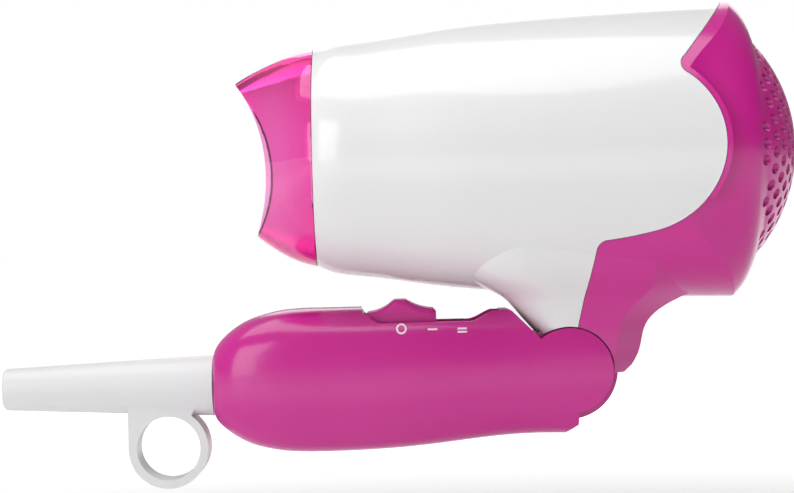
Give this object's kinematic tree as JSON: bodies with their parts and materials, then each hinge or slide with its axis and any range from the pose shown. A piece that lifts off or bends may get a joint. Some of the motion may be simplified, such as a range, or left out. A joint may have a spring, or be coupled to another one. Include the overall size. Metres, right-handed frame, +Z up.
{
  "type": "hair dryer",
  "caption": "Folding hair dryer with a barrel, push-on air concentrator, rear air inlet dome, hinged handle with slide switch, and a cord sleeve with a hanging loop.",
  "frame": {"origin": "centre of the hanging loop's eye, folded", "axes": "+X along the barrel towards the air inlet, +Y along the loop's eye, +Z up from handle to barrel"},
  "size_m": [0.214, 0.079, 0.1272],
  "materials": {
    "shell_white": "glossy white moulded plastic",
    "casing_pink": "glossy magenta moulded plastic",
    "button_pink": "glossy magenta moulded plastic",
    "nozzle_tint": "see-through tinted plastic",
    "relief_white": "soft satin white plastic",
    "inner_dark": "black heat-resistant plastic",
    "bush_white": "natural acetal",
    "mica": "mica sheet",
    "heater_wire": "resistance wire",
    "steel": "plated steel",
    "board": "brown circuit board",
    "lead": "white insulated lead"
  },
  "bodies": {
    "handle": {"handle_left": "casing_pink", "handle_right": "casing_pink", "strain_relief": "relief_white", "cord_clamp": "bush_white", "clamp_screws": "steel", "cord_terminals": "inner_dark", "switch_body": "inner_dark", "handle_screws": "steel", "handle_leads": "lead"},
    "barrel": {"front_shell": "shell_white", "rear_cover": "casing_pink", "inlet_grille": "casing_pink", "hinge_knuckle": "casing_pink", "hinge_bush_left": "bush_white", "hinge_bush_right": "bush_white", "outlet_grid": "inner_dark", "mica_tube": "mica", "mica_cross": "mica", "heating_coils": "heater_wire", "thermostat": "steel", "thermal_fuse": "steel", "fan_duct": "inner_dark", "motor_can": "steel", "motor_end_cap": "inner_dark", "motor_board": "board", "lint_screen": "steel", "neck_leads": "lead"},
    "nozzle": {"nozzle": "nozzle_tint"},
    "rotor": {"fan_impeller": "inner_dark", "motor_shaft": "steel"},
    "switch": {"switch_knob": "button_pink"}
  },
  "joints": [
    {"name": "handle_fold", "type": "hinge", "parent": "handle", "child": "barrel", "pos_m": [0.1072, 0, 0.0188], "axis": [0, 1, 0], "range_deg": [0, 75]},
    {"name": "switch_slide", "type": "slide", "parent": "handle", "child": "switch", "axis": [1, 0, 0], "range_m": [0, 0.0164]},
    {"name": "nozzle_turn", "type": "hinge", "parent": "barrel", "child": "nozzle", "pos_m": [0.045, 0, 0.0769], "axis": [1, 0, 0], "continuous": true},
    {"name": "fan_spin", "type": "hinge", "parent": "barrel", "child": "rotor", "pos_m": [0.12, 0, 0.0769], "axis": [1, 0, 0], "continuous": true}
  ]
}
